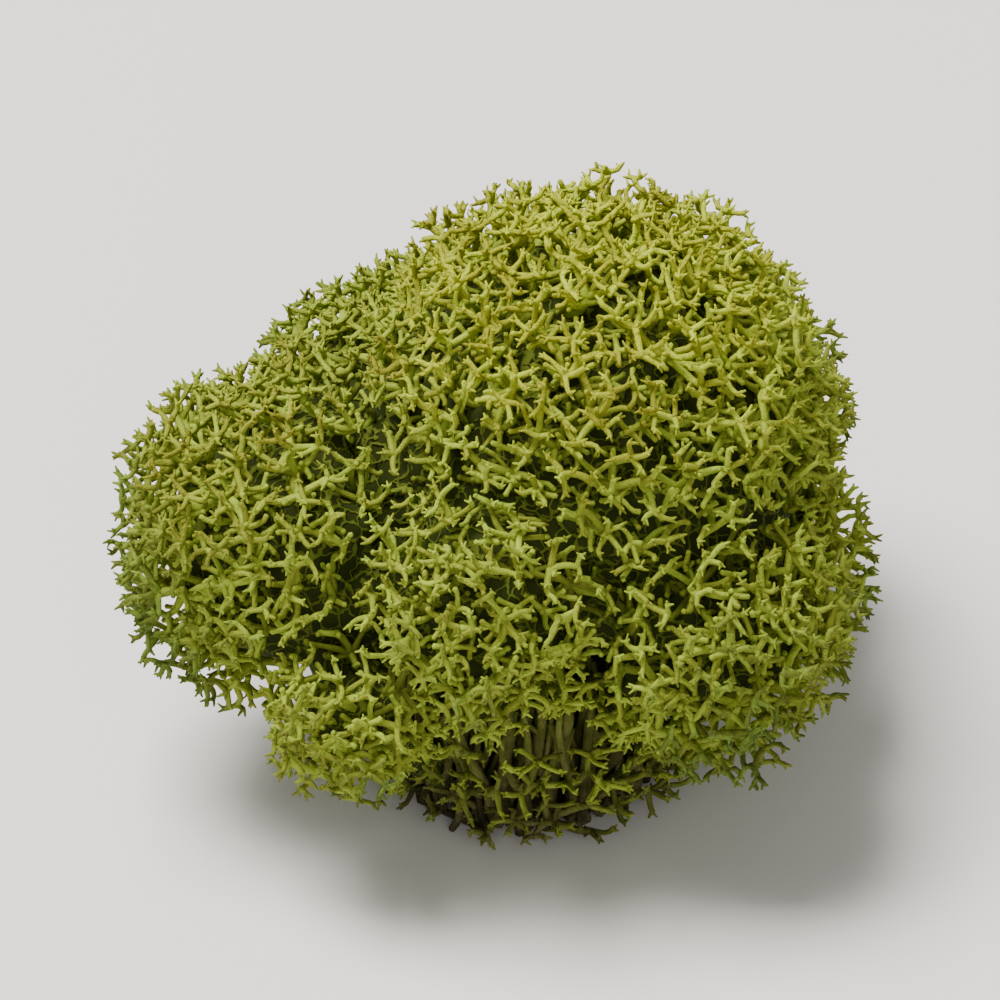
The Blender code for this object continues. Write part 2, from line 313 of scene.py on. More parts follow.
def makePiece(name, shapes, materials, node):
    # One mesh from several shapes: their points and faces in a row, with the values as point attributes.
    # A shape's finish is its place in the list of materials, 0 unless it says otherwise
    offsets = np.cumsum([0] + [len(shape["points"]) for shape in shapes[:-1]])
    points = np.concatenate([shape["points"] for shape in shapes])
    olive = sum(strength * np.exp(-((points - place) ** 2).sum(axis=1) / (2 * size ** 2))
                for place, size, strength in olivePatches)
    points *= mm
    points[:, 2] = np.maximum(points[:, 2], 0.0)   # the lowest ends lie flat on the floor
    quads = np.concatenate([shape["quads"] + start for shape, start in zip(shapes, offsets)])
    triangles = np.concatenate([shape["triangles"] + start for shape, start in zip(shapes, offsets)])
    mesh = bpy.data.meshes.new(name)
    mesh.vertices.add(len(points))
    mesh.vertices.foreach_set("co", points.astype(np.float32).ravel())
    mesh.loops.add(quads.size + triangles.size)
    corners = np.concatenate([quads.ravel(), triangles.ravel()])
    mesh.loops.foreach_set("vertex_index", corners.astype(np.int32))
    starts = np.concatenate([np.arange(len(quads)) * 4, quads.size + np.arange(len(triangles)) * 3])
    mesh.polygons.add(len(quads) + len(triangles))
    mesh.polygons.foreach_set("loop_start", starts.astype(np.int32))
    finishes = [np.full(len(shape[kind]), shape.get("finish", 0))
                for kind in ("quads", "triangles") for shape in shapes]
    mesh.polygons.foreach_set("material_index", np.concatenate(finishes).astype(np.int32))
    mesh.update(calc_edges=True)
    mesh.shade_smooth()
    values = {key: np.concatenate([shape["values"][key] for shape in shapes]) for key in shapes[0]["values"]}
    for key, numbers in {**values, "olive": olive}.items():
        attribute = mesh.attributes.new(key, "FLOAT", "POINT")
        attribute.data.foreach_set("value", numbers.astype(np.float32))
    for material in materials:
        mesh.materials.append(material)
    piece = addObject(name, mesh)
    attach(piece, "root")
    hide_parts(node)
    faces = 2 * len(quads) + len(triangles)
    print(f"{name}: {faces} triangles")
    return faces


# What the materials are built from

def link(tree, source, target):
    tree.links.new(source, target)


def mathNode(tree, operation, first, second):
    # A Math node. Each of first and second is a socket or a number
    node = tree.nodes.new("ShaderNodeMath")
    node.operation = operation
    for socket, value in zip(node.inputs, (first, second)):
        if isinstance(value, (int, float)):
            socket.default_value = value
        else:
            link(tree, value, socket)
    return node.outputs[0]


def noiseNode(tree, vector, scale, detail):
    # Noise, with scale in waves for each metre
    node = tree.nodes.new("ShaderNodeTexNoise")
    node.inputs["Scale"].default_value = scale
    node.inputs["Detail"].default_value = detail
    link(tree, vector, node.inputs["Vector"])
    return node.outputs["Fac"]


def rangeNode(tree, value, fromLow, fromHigh, toLow=0.0, toHigh=1.0):
    # A smooth Map Range from one span of numbers to another
    node = tree.nodes.new("ShaderNodeMapRange")
    node.interpolation_type = "SMOOTHSTEP"
    labels = ("From Min", "From Max", "To Min", "To Max")
    for label, number in zip(labels, (fromLow, fromHigh, toLow, toHigh)):
        node.inputs[label].default_value = number
    link(tree, value, node.inputs["Value"])
    return node.outputs["Result"]


def mixColours(tree, share, first, second):
    # A Mix node on colours. Each of first and second is a socket or a linear colour
    node = tree.nodes.new("ShaderNodeMix")
    node.data_type = "RGBA"
    node.clamp_factor = True
    link(tree, share, node.inputs[0])
    for socket, value in zip((node.inputs[6], node.inputs[7]), (first, second)):
        if isinstance(value, tuple):
            socket.default_value = (*value, 1.0)
        else:
            link(tree, value, socket)
    return node.outputs[2]


coatRelief = 0.00006     # metres that a height of 1 stands for
noiseSpan = (0.3, 0.7)   # most of a Noise texture's numbers lie between these


def buildMealyCoat():
    # Granules of the living layer and the pale felt between them: a mask of specks, and a height for the bump
    group = bpy.data.node_groups.new("mealyCoat", "ShaderNodeTree")
    group.interface.new_socket("Vector", in_out="INPUT", socket_type="NodeSocketVector")
    for label in ("Specks", "Height"):
        group.interface.new_socket(label, in_out="OUTPUT", socket_type="NodeSocketFloat")
    inside = group.nodes.new("NodeGroupInput")
    outside = group.nodes.new("NodeGroupOutput")
    cells = group.nodes.new("ShaderNodeTexVoronoi")
    cells.inputs["Scale"].default_value = 7500.0
    link(group, inside.outputs["Vector"], cells.inputs["Vector"])
    specks = rangeNode(group, cells.outputs["Distance"], 0.15, 0.55, 1.0, 0.0)
    fibres = noiseNode(group, inside.outputs["Vector"], scale=16000.0, detail=1.0)
    height = mathNode(group, "ADD", mathNode(group, "MULTIPLY", specks, 0.6), fibres)
    link(group, specks, outside.inputs["Specks"])
    link(group, height, outside.inputs["Height"])
    return group


mealyCoat = buildMealyCoat()


def attributeValue(tree, name):
    # A point attribute of the piece's own mesh
    node = tree.nodes.new("ShaderNodeAttribute")
    node.attribute_name = name
    return node.outputs["Fac"]


def startMaterial(name, look):
    # A Principled material with its plain numbers on its own sockets, and the piece's Object coordinates
    material = bpy.data.materials.new(name)
    material.use_nodes = True
    tree = material.node_tree
    shader = tree.nodes["Principled BSDF"]
    shader.inputs["Specular IOR Level"].default_value = look["shine"]
    coordinates = tree.nodes.new("ShaderNodeTexCoord").outputs["Object"]
    return material, tree, shader, coordinates


def tangle(tree, coordinates, look):
    # 1 on the crooked edges of Voronoi cells and 0 between them, like strands matted together
    crooked = tree.nodes.new("ShaderNodeTexNoise")
    crooked.inputs["Scale"].default_value = look["crooks"]
    link(tree, coordinates, crooked.inputs["Vector"])
    moved = tree.nodes.new("ShaderNodeVectorMath")
    moved.operation = "MULTIPLY_ADD"
    moved.inputs[1].default_value = (look["crook"],) * 3
    link(tree, crooked.outputs["Color"], moved.inputs[0])
    link(tree, coordinates, moved.inputs[2])
    cells = tree.nodes.new("ShaderNodeTexVoronoi")
    cells.feature = "DISTANCE_TO_EDGE"
    cells.inputs["Scale"].default_value = look["scale"]
    link(tree, moved.outputs["Vector"], cells.inputs["Vector"])
    return rangeNode(tree, cells.outputs["Distance"], *look["edge"], 1.0, 0.0)


def addBump(tree, shader, height, strength, distance):
    # Relief on the surface from a height, whose 1 stands for this distance in metres
    bump = tree.nodes.new("ShaderNodeBump")
    bump.inputs["Strength"].default_value = strength
    bump.inputs["Distance"].default_value = distance
    link(tree, height, bump.inputs["Height"])
    link(tree, bump.outputs["Normal"], shader.inputs["Normal"])


def addMealyCoat(tree, shader, coordinates, strength):
    # The shared coat: its height goes to the bump, and its mask of specks comes back
    coat = tree.nodes.new("ShaderNodeGroup")
    coat.node_tree = mealyCoat
    link(tree, coordinates, coat.inputs["Vector"])
    addBump(tree, shader, coat.outputs["Height"], strength, coatRelief)
    return coat.outputs["Specks"]


def tintByShade(tree, colour, values, hues):
    # Each strand a little lighter or darker and yellower or greener, by its own shade number
    shade = attributeValue(tree, "shade")
    tinted = tree.nodes.new("ShaderNodeHueSaturation")
    link(tree, colour, tinted.inputs["Color"])
    link(tree, rangeNode(tree, shade, 0.0, 1.0, *values), tinted.inputs["Value"])
    link(tree, rangeNode(tree, shade, 0.0, 1.0, *hues), tinted.inputs["Hue"])
    return tinted.outputs["Color"]


lichenLook = {
    "tip": (0.380, 0.428, 0.034),     # youngest ends
    "young": (0.340, 0.397, 0.036),   # the net just under them
    "middle": (0.280, 0.343, 0.036),
    "old": (0.150, 0.186, 0.021),     # deep inside, dark partly for age and partly as painted shade
    "crest": (0.412, 0.450, 0.028),   # yellowest on the very top, and lighter there as painted light
    "shaded": (0.084, 0.127, 0.021),  # painted shade: greener and darker low on the flanks
    "olive": (0.235, 0.215, 0.023),   # browner patches
    "speck": (0.20, 0.27, 0.026),
    "values": (0.75, 1.2),            # of the strands, over their shade numbers
    "hues": (0.489, 0.508),
    "roughness": (0.72, 0.92),
    "shine": 0.12,
}

lichenSpans = {
    # depths over which a colour takes over, or Z in metres and the shares there
    "young": (0.0, 0.14),
    "middle": (0.15, 0.40),
    "old": (0.45, 0.85),
    "crest": (0.024, 0.034, 0.0, 0.8),
    "shaded": (0.033, 0.011, 0.0, 0.95),
    "depth": (0.022, 0.033, 1.0, 0.6),   # how much depth counts, less on the top: painted light there
}


def lichenMaterial():
    # Yellow-green at the tips, mid green below them and dark olive deep inside, by the depth attribute, that
    # dark partly older growth and partly painted shade. By height it also paints light on the top and shade
    # low on the flanks
    look = lichenLook
    material, tree, shader, coordinates = startMaterial("lichenBranches", look)

    def takeOver(colour, measure, name):
        # The named colour comes in over its span of the measure
        return mixColours(tree, rangeNode(tree, measure, *lichenSpans[name]), colour, look[name])

    specks = addMealyCoat(tree, shader, coordinates, strength=0.75)
    broad = noiseNode(tree, coordinates, scale=110.0, detail=2.0)
    fine = noiseNode(tree, coordinates, scale=900.0, detail=3.0)
    split = tree.nodes.new("ShaderNodeSeparateXYZ")
    link(tree, coordinates, split.inputs["Vector"])
    height = split.outputs["Z"]
    uneven = rangeNode(tree, fine, *noiseSpan, -0.03, 0.03)
    depth = mathNode(tree, "ADD", attributeValue(tree, "depth"), uneven)
    # Painted light: depth, and the shade painted with it, counts less on the top
    depth = mathNode(tree, "MULTIPLY", depth, rangeNode(tree, height, *lichenSpans["depth"]))
    colour = takeOver(look["tip"], depth, "young")
    # Painted light: a yellower, lighter colour on the top, by height
    colour = takeOver(colour, height, "crest")
    # Painted shade: darker and greener low on the flanks, by height
    colour = takeOver(colour, height, "shaded")
    patches = mathNode(tree, "MULTIPLY", rangeNode(tree, broad, 0.5, 0.68), 0.4)
    patches = mathNode(tree, "ADD", patches, attributeValue(tree, "olive"))
    colour = mixColours(tree, patches, colour, look["olive"])
    colour = mixColours(tree, mathNode(tree, "MULTIPLY", specks, 0.38), colour, look["speck"])
    colour = takeOver(colour, depth, "middle")
    colour = takeOver(colour, depth, "old")
    link(tree, tintByShade(tree, colour, look["values"], look["hues"]), shader.inputs["Base Color"])
    link(tree, rangeNode(tree, fine, *noiseSpan, *look["roughness"]), shader.inputs["Roughness"])
    return material


middleLook = {
    "mat": (0.110, 0.139, 0.015),     # strands matted together in a head's middle, dark partly for their age and partly as painted shade
    "hollow": (0.026, 0.035, 0.004),  # painted shade in the gaps between them
    "scale": 950.0,                   # gaps for each metre
    "edge": (0.03, 0.13),             # where a strand gives way to a gap
    "crook": 0.0016,                  # metres by which strands are crooked
    "crooks": 900.0,                  # for each metre
    "relief": 0.00036,                # metres from the gaps up to the strands
    "roughness": 0.85,
    "shine": 0.12,
}


def middleMaterial():
    # The dense middle of a head: strands of old growth with painted dark shade in the gaps between them
    look = middleLook
    material, tree, shader, coordinates = startMaterial("lichenMiddle", look)
    mat = tangle(tree, coordinates, look)
    addBump(tree, shader, mat, strength=0.75, distance=look["relief"])
    # Painted shade in the gaps between the matted strands
    link(tree, mixColours(tree, mat, look["hollow"], look["mat"]), shader.inputs["Base Color"])
    shader.inputs["Roughness"].default_value = look["roughness"]
    return material


stalkLook = {
    "pale": (0.150, 0.130, 0.055),
    "dark": (0.030, 0.026, 0.009),
    "green": (0.215, 0.265, 0.026),
    "values": (0.55, 1.45),
    "hues": (0.49, 0.505),
    "roughness": (0.78, 0.96),
    "shine": 0.2,
}


def stalkMaterial():
    # Dull brown old stalks, greener where they rise into the heads
    look = stalkLook
    material, tree, shader, coordinates = startMaterial("oldStalks", look)
    specks = addMealyCoat(tree, shader, coordinates, strength=0.8)
    fine = noiseNode(tree, coordinates, scale=700.0, detail=4.0)
    colour = mixColours(tree, rangeNode(tree, fine, 0.35, 0.65), look["dark"], look["pale"])
    colour = mixColours(tree, mathNode(tree, "MULTIPLY", specks, 0.4), colour, look["dark"])
    colour = mixColours(tree, attributeValue(tree, "depth"), look["green"], colour)
    link(tree, tintByShade(tree, colour, look["values"], look["hues"]), shader.inputs["Base Color"])
    link(tree, rangeNode(tree, fine, *noiseSpan, *look["roughness"]), shader.inputs["Roughness"])
    return material


# The branching heads: four nets of tips under each other, gathered to forks and those to deeper forks

netSettings = {
    # for each net: least spacing of its tips and their depth below the envelope, in mm
    "outer": {"spacing": 0.84, "depth": (0.0, 0.25), "candidates": 0.5},
    "second": {"spacing": 0.9, "depth": (0.7, 1.3), "candidates": 0.5},
    "third": {"spacing": 1.0, "depth": (1.5, 2.4), "candidates": 0.55},
    "fourth": {"spacing": 1.2, "depth": (2.7, 3.9), "candidates": 0.65},
}

forkSettings = {
    # for each step inwards: least spacing of the forks, how far they lie under what they carry,
    # and how much they lean to the head's base
    "outermost": ((1.42, 0.38, 0.15),),
    "outer": ((2.2, 0.6, 0.3),),
    "second": ((1.5, 0.42, 0.2),),
    "outerAndSecond": ((2.8, 0.9, 0.45),),
    "third": ((1.9, 0.5, 0.3),),
    "fourth": ((2.4, 0.6, 0.3),),
    "all": ((3.8, 1.5, 0.6), (5.2, 2.2, 0.8)),
}

branchSettings = {
    "tipRadius": 0.155,     # mm, of a strand with a single tip
    "thickening": 0.2,      # power of the number of tips by which a strand is thicker
    "bareBelow": -0.93,     # facing below which a head has no tips
    "thinFrom": -0.2,       # facing below which tips grow sparser
    "sparsest": 0.6,        # share of the tips kept on the lowest flanks
    "wayStray": (0.4, 0.25),   # how far tips, and forks, stray from their way out
    "baseInset": 1.2,       # mm that a head's base lies inside the tuft's sphere
    "fullRadius": 9.0,      # mm, of a head with its forks at full spacing
    "deepest": 6.5,         # mm at which the depth attribute reaches 1
    "darkest": 0.86,        # most that it reaches on a strand
    "bare": (0.9, 1.8),     # mm outside the envelope over which strands turn old
    "aged": (0.1, 0.75),    # share of the radius from the base over which they turn young
    "curl": 0.27,           # how far strands stray from their way
    "leave": 0.15,          # how much a strand's start follows its fork
    "arrive": (0.7, 0.6),   # how much its end follows its own way and the straight one
    "pull": 0.4,            # Bezier handles, as a share of the length
    "mostTips": 3,          # at its start for each one at its end
    "waist": 0.14,          # share by which it is thinner halfway
    "uneven": (0.9, 1.12),
    "rings": 5,
    "sides": 5,
}

starSettings = {
    "points": 3,
    "length": 0.36,         # mm
    "startRadius": 0.115,
    "endRadius": 0.055,
    "outward": 0.8,         # travel the tip's own way
    "spread": 0.95,         # and sideways
    "turnStray": 0.3,
    "sunk": 0.08,           # mm that points start inside the tip
    "lift": 0.12,           # share of the length by which a point's end curves outwards
    "uneven": (0.85, 1.15),
    "sides": 3,
}


def basePoint(name):
    # Where the head's branches meet the stalk tuft: just inside the tuft's sphere, towards the head's middle
    tuft = np.array(tuftSphere[:3])
    return tuft + unit(sphereOf(name)[0] - tuft) * (tuftSphere[3] - branchSettings["baseInset"])


def headGuide(name):
    # What the strands of a head follow: how small it is, its way in from each point, and its tone there
    settings = branchSettings
    middle, radius = sphereOf(name)
    base = basePoint(name)

    def wayIn(points, lean):
        # In from the envelope near the outside, to the middle further in, and with the lean to the base
        outward = softUnion(points)[1]
        share = np.linalg.norm(points - middle, axis=1, keepdims=True) / radius
        inward = unit(-outward * share + unit(middle - points) * (1 - share))
        return unit(inward * (1 - lean) + unit(base - points) * lean)

    def tone(points):
        # 0 on the envelope, and darkest deep below it, close to the head's base, or on bare stems under it.
        # The darkness deep below is partly older growth and partly painted shade, deepest in the creases
        deep = -softUnion(points, envelope["shadeSoftness"])[0] / settings["deepest"]
        fromBase = np.linalg.norm(points - base, axis=1) / radius
        bare = smoothStep(softUnion(points)[0], *settings["bare"])
        aged = 1 - smoothStep(fromBase, *settings["aged"])
        return np.clip(np.maximum(np.maximum(deep, bare), aged), 0.0, settings["darkest"])

    return {"small": min(1.0, radius / settings["fullRadius"]), "wayIn": wayIn, "tone": tone}


def joinRows(parts):
    # Dictionaries of arrays, laid end to end
    return {key: np.concatenate([part[key] for part in parts]) for key in parts[0]}


def headTips(name, net):
    # Even spots on the envelope inside the head's planes, sunk in cushions and to the net's own depth
    settings = netSettings[net]
    count = spotsOn(4 * math.pi * sphereOf(name)[1] ** 2, settings["candidates"])
    points, outward = onEnvelope(spiral(count, scatter=0.3), name)
    own = overPlanes(points, name) < -envelope["planeGap"]
    own &= (outward[:, 2] > branchSettings["bareBelow"]) & (points[:, 2] > 1.0)
    points, outward = points[own], outward[own]
    spots = evenSpots(points, settings["spacing"])
    points, outward = points[spots], outward[spots]
    thin = smoothStep(-outward[:, 2], -branchSettings["thinFrom"], -branchSettings["bareBelow"])
    kept = random.uniform(0, 1, len(points)) < 1 - (1 - branchSettings["sparsest"]) * thin
    points, outward = points[kept], outward[kept]
    cushions = points[evenSpots(points, envelope["cushion"])]
    away = np.sqrt(np.maximum(pairSquares(points, cushions), 0).min(axis=1))
    fromMiddle = np.minimum(away / (0.5 * envelope["cushion"]), envelope["edge"])
    lowered = envelope["bulge"] * fromMiddle ** 2
    depth = random.uniform(*settings["depth"], len(points)) + lowered + creaseDepth(points, name)
    count = len(points)
    ways = unit(outward + stray(count, branchSettings["wayStray"][0]))
    return {"place": points - outward * depth[:, None], "way": ways, "tips": np.ones(count),
            "shade": random.uniform(0, 1, count)}


def strandsTo(nodes, start, startWay, startTips):
    # Strands that end at these nodes
    return {"start": start, "startWay": startWay, "startTips": startTips, "end": nodes["place"],
            "endWay": nodes["way"], "endTips": nodes["tips"], "shade": nodes["shade"]}


def gather(guide, nodes, steps, strands):
    # At each step even spots among the nodes take their nearest nodes, and a fork lies at those nodes' mean,
    # drawn along the guide's way in. The strands from forks to nodes are noted
    small = guide["small"]
    for spacing, drop, lean in steps:
        places = nodes["place"]
        seeds = places[evenSpots(places, spacing * math.sqrt(small))]
        group = pairSquares(places, seeds).argmin(axis=1)
        count = len(seeds)
        means = groupMeans(places, group, count)
        wayIn = guide["wayIn"](means, lean)
        place = means + wayIn * drop * small + stray(count, 0.07 * spacing)
        forks = {"place": place, "way": unit(-wayIn + stray(count, branchSettings["wayStray"][1])),
                 "tips": np.bincount(group, nodes["tips"], count), "shade": random.uniform(0, 1, count)}
        strands.append(strandsTo(nodes, place[group], forks["way"][group], forks["tips"][group]))
        nodes = forks
    return nodes


def growHead(name, guide):
    # The outermost strands in one list, and the inner ones in another
    outerStrands, innerStrands = [], []

    def inwards(nodes, step):
        return gather(guide, nodes, forkSettings[step], innerStrands)

    outer = gather(guide, headTips(name, "outer"), forkSettings["outermost"], outerStrands)
    outer = inwards(outer, "outer")
    second = inwards(headTips(name, "second"), "second")
    upper = inwards(joinRows([outer, second]), "outerAndSecond")
    third = inwards(headTips(name, "third"), "third")
    fourth = inwards(headTips(name, "fourth"), "fourth")
    deep = inwards(joinRows([upper, third, fourth]), "all")
    count = len(deep["place"])
    base = basePoint(name)
    middle, radius = sphereOf(name)
    root = base + stray(count, 0.10 * radius)
    rootWay = unit(middle - base)[None].repeat(count, axis=0)
    innerStrands.append(strandsTo(deep, root, rootWay, deep["tips"] * 1.3))
    return joinRows(outerStrands), joinRows(innerStrands)


def strandTubes(tone, strands):
    # Strands leave a fork towards their own end and turn outwards there: Bezier paths, thicker with more tips
    settings = branchSettings
    rings = settings["rings"]
    chord = strands["end"] - strands["start"]
    length = np.linalg.norm(chord, axis=1, keepdims=True)
    chordWay = chord / np.maximum(length, 1e-6)
    leave = unit(strands["startWay"] * settings["leave"] + chordWay + stray(len(chord), settings["curl"]))
    own, straight = settings["arrive"]
    arrive = unit(strands["endWay"] * own + chordWay * straight + stray(len(chord), settings["curl"]))
    paths = curvePaths(strands["start"], strands["start"] + leave * length * settings["pull"],
                       strands["end"] - arrive * length * settings["pull"], strands["end"], rings)
    t = np.linspace(0, 1, rings)[None]
    startTips = np.minimum(strands["startTips"], strands["endTips"] * settings["mostTips"])
    startRadius = settings["tipRadius"] * startTips ** settings["thickening"]
    endRadius = settings["tipRadius"] * strands["endTips"] ** settings["thickening"]
    radii = startRadius[:, None] * (1 - t) + endRadius[:, None] * t
    radii = radii * (1 - settings["waist"] * np.sin(math.pi * t))
    radii = radii * random.uniform(*settings["uneven"], radii.shape)
    depth = tone(paths.reshape(-1, 3)).reshape(radii.shape)
    values = {"depth": depth, "shade": strands["shade"][:, None]}
    return tubes(paths, radii, settings["sides"], values), arrive


def starTubes(tone, ends, ways, shades):
    # A ring of short points round the end of each tip, tilted outwards by the spread
    settings = starSettings
    count = settings["points"]
    across, above = crossways(ways)
    turn = 2 * math.pi * (np.arange(count) + random.uniform(0, 1, (len(ends), 1))) / count
    turn = turn + random.normal(0, settings["turnStray"], turn.shape)
    spread = settings["spread"] * random.uniform(0.5, 1.3, turn.shape)
    sideways = np.cos(turn)[..., None] * across[:, None] + np.sin(turn)[..., None] * above[:, None]
    pointWays = unit(ways[:, None] * settings["outward"] + sideways * spread[..., None]).reshape(-1, 3)
    lengths = settings["length"] * random.uniform(0.7, 1.25, (len(pointWays), 1))
    starts = np.repeat(ends - ways * settings["sunk"], count, axis=0)
    stops = starts + pointWays * lengths
    lifted = np.repeat(ways, count, axis=0) * lengths * settings["lift"]
    paths = np.stack([starts, (starts + stops) / 2 - lifted * 0.3, stops + lifted], axis=1)
    radii = np.array([settings["startRadius"], settings["startRadius"] * 0.86, settings["endRadius"]])
    radii = radii * random.uniform(*settings["uneven"], (len(pointWays), 1))
    depth = tone(paths.reshape(-1, 3)).reshape(radii.shape)
    values = {"depth": depth, "shade": np.repeat(shades, count)[:, None]}
    return tubes(paths, radii, settings["sides"], values)


coreSettings = {
    "depth": (3.9, 0.6),    # mm below the envelope, or at most this share of the head's radius
    "softness": 2.4,        # mm by which two cores fill the crease between them
    "creaseDepth": 3.0,     # mm below the envelope at least, in a crease too
    "overlap": 0.2,         # mm by which two cores run into each other
    "knobs": (1.7, 0.45),   # mm between the core's knobs, and their height
    "folds": (4.5, 0.5),    # the same for its broader folds
    "sinking": 0.6,         # share of the tips' sinking that it follows
    "least": 0.2,           # least reach, as a share of the radius
    "neck": (0.20, 0.34),   # its radius at its foot and its top, as a share of the head's
    "neckRings": 7,
    "grid": (90, 46),
    "shade": 0.3,
}


def headCore(name):
    # The dense old middle of a head, dark partly for its age and partly as painted shade: in each direction
    # it reaches a set depth below the envelope, or a plane
    settings = coreSettings
    middle, radius = sphereOf(name)
    normals, along = dividingPlanes(name)
    depth = min(settings["depth"][0], settings["depth"][1] * radius)
    leastDepth = min(settings["creaseDepth"], depth)
    least = settings["least"] * radius

    def reach(directions):
        size = np.full(len(directions), radius)
        for step in range(envelope["searchSteps"]):
            points = middle + directions * size[:, None]
            filled = softUnion(points, settings["softness"])[0] + depth
            below = softUnion(points)[0] + leastDepth + settings["sinking"] * creaseDepth(points, name)
            size = np.maximum(size - np.maximum(filled, below) * 0.8, least)
        facing = directions @ normals.T
        toPlanes = (along + settings["overlap"]) / np.maximum(facing, 0.05)
        size = np.clip(toPlanes.min(axis=1), least, size)
        points = middle + directions * size[:, None]
        relief = sum(ripple(points, length, seed=9) * height
                     for length, height in (settings["knobs"], settings["folds"]))
        return points + directions * relief[:, None]

    values = {"depth": 1.0, "shade": settings["shade"]}
    core = ball(reach, *settings["grid"], values)
    rings = settings["neckRings"]
    t = np.linspace(0, 1, rings)[None, :, None]
    path = basePoint(name) * (1 - t) + middle * t
    radii = np.linspace(*settings["neck"], rings)[None] * radius
    neck = tubes(path, radii, 16, values)
    return [{**core, "finish": 1}, {**neck, "finish": 1}]


def pieceName(node, kind):
    # back_left_head and branches make backLeftBranches
    words = node.replace("_head", "").split("_")
    return words[0] + "".join(word.title() for word in words[1:]) + kind


def buildHead(name, lichen, middle):
    # A head in two pieces: its outer branchlets with their stars, and the branches and core inside
    guide = headGuide(name)
    outer, inner = growHead(name, guide)
    outerShape, ways = strandTubes(guide["tone"], outer)
    stars = starTubes(guide["tone"], outer["end"], ways, outer["shade"])
    innerShape, _ = strandTubes(guide["tone"], inner)
    faces = makePiece(pieceName(name, "Branchlets"), [outerShape, stars], [lichen], name)
    branches = [innerShape, *headCore(name)]
    return faces + makePiece(pieceName(name, "Branches"), branches, [lichen, middle], name)


# The tuft of old stalks that the clump stands on

tuftSettings = {
    "footRadius": 6.9,      # mm, out to the stalks' middles
    "topRadius": 7.2,
    "topHeight": 8.6,
    "stalks": 420,          # over the whole foot, the hidden ones too
    "shown": 0.6,           # share of the radius inside which they're left out
    "radius": (0.15, 0.34),
    "footStray": 0.35,      # mm by which a stalk's foot, middle and top stray
    "lean": 0.76,
    "topStray": 0.7,
    "footLift": (-0.3, 0.7),   # mean and spread of its foot's height, at least 0
    "twist": (0.4, 2.2),    # mean and spread of its turn round the axis, in mm
    "pull": 2.6,            # mm, of its Bezier handles
    "uneven": (0.8, 1.25),
    "plugInset": 1.9,       # mm by which the dark middle stays inside the stalks
}

skirtSettings = {
    # forked branchlets that lean out of the tuft under the heads
    "heights": (0.9, 8.4),        # mm
    "radii": (8.7, 11.0),         # mm from the axis, at those heights
    "fuller": ((0.6, -0.8, 0.0), 1.2),   # level way to which it reaches further, and the mm
    "spacing": 0.98,
    "candidates": 0.5,
    "sunk": (0.0, 1.9),           # mm that a tip stays behind the outermost
    "steepness": (0.35, 1.1),     # upward travel for each unit outwards
    "forks": ((1.7, 0.75, 0.15), (2.8, 1.2, 0.5)),
    "rootRadius": 6.3,            # mm from the axis where they leave the stalks
    "rootDrop": (0.7, 1.6),       # their fall from there on, for each mm inwards
    "tone": (1.15, 6.6, 3.2),     # 1.15 at 6.6 mm from the axis, falling by 1 over 3.2 mm
    "footTone": (5.0, 0.5),       # mm above the floor over which a quarter of it comes in
}


def outFromAxis(points):
    # The level way out from the axis at each point, and the distance from it
    level = points * np.array([1.0, 1.0, 0.0])
    return unit(level), np.linalg.norm(level, axis=1)


def skirtWayIn(points, lean):
    # In towards the axis, and downwards the more it leans
    return unit(-outFromAxis(points)[0] * (1 - 0.5 * lean) - up * (0.45 + 0.5 * lean))


def skirtTone(points):
    # 0 at the outermost tips and 1 at the stalks and at the foot
    tone, start, span = skirtSettings["tone"]
    inside = np.clip(tone - (outFromAxis(points)[1] - start) / span, 0.0, 1.0)
    return inside * 0.75 + 0.25 * smoothStep(points[:, 2], *skirtSettings["footTone"])


def buildSkirt(material):
    # Tips on a funnel round the tuft, radius growing with height, gathered to forks and those to the stalks
    settings = skirtSettings
    low, high = settings["heights"]
    candidates = spotsOn(2 * math.pi * settings["radii"][1] * (high - low), settings["candidates"])
    share = (np.arange(candidates) + 0.5) / candidates
    turns = goldenTurns(candidates) + random.normal(0, 0.03, candidates)
    outward = np.stack([np.cos(turns), np.sin(turns), np.zeros(candidates)], axis=1)
    uneven = 1 + 0.05 * ripple(outward * 8.0, size=9.0, seed=3)
    fullWay, fuller = settings["fuller"]
    sunk = random.uniform(*settings["sunk"], candidates)
    radii = np.interp(share, (0, 1), settings["radii"]) * uneven - sunk
    radii += fuller * np.maximum(outward @ np.array(fullWay), 0.0) ** 2
    points = outward * radii[:, None] + up * (low + (high - low) * share)[:, None]
    free = softUnion(points)[0] > -0.7
    points, outward = points[free], outward[free]
    spots = evenSpots(points, settings["spacing"])
    points, outward = points[spots], outward[spots]
    count = len(points)
    steep = up * random.uniform(*settings["steepness"], (count, 1))
    ways = unit(outward + steep + stray(count, 0.3))
    tips = {"place": points, "way": ways, "tips": np.ones(count), "shade": random.uniform(0, 1, count)}
    guide = {"small": 1.0, "wayIn": skirtWayIn}
    outer, inner = [], []
    forks = gather(guide, tips, settings["forks"][:1], outer)
    forks = gather(guide, forks, settings["forks"][1:], inner)
    level, far = outFromAxis(forks["place"])
    drop = (far - settings["rootRadius"]) * random.uniform(*settings["rootDrop"], len(far))
    roots = level * settings["rootRadius"]
    roots[:, 2] = np.maximum(forks["place"][:, 2] - np.maximum(drop, 0.3), 0.5)
    inner.append(strandsTo(forks, roots, unit(level * 0.4 + up), forks["tips"] * 1.2))
    outer, inner = joinRows(outer), joinRows(inner)
    outerShape, ways = strandTubes(skirtTone, outer)
    innerShape, _ = strandTubes(skirtTone, inner)
    stars = starTubes(skirtTone, outer["end"], ways, outer["shade"])
    return makePiece("tuftBranchlets", [outerShape, innerShape, stars], [material], "stalk_tuft")


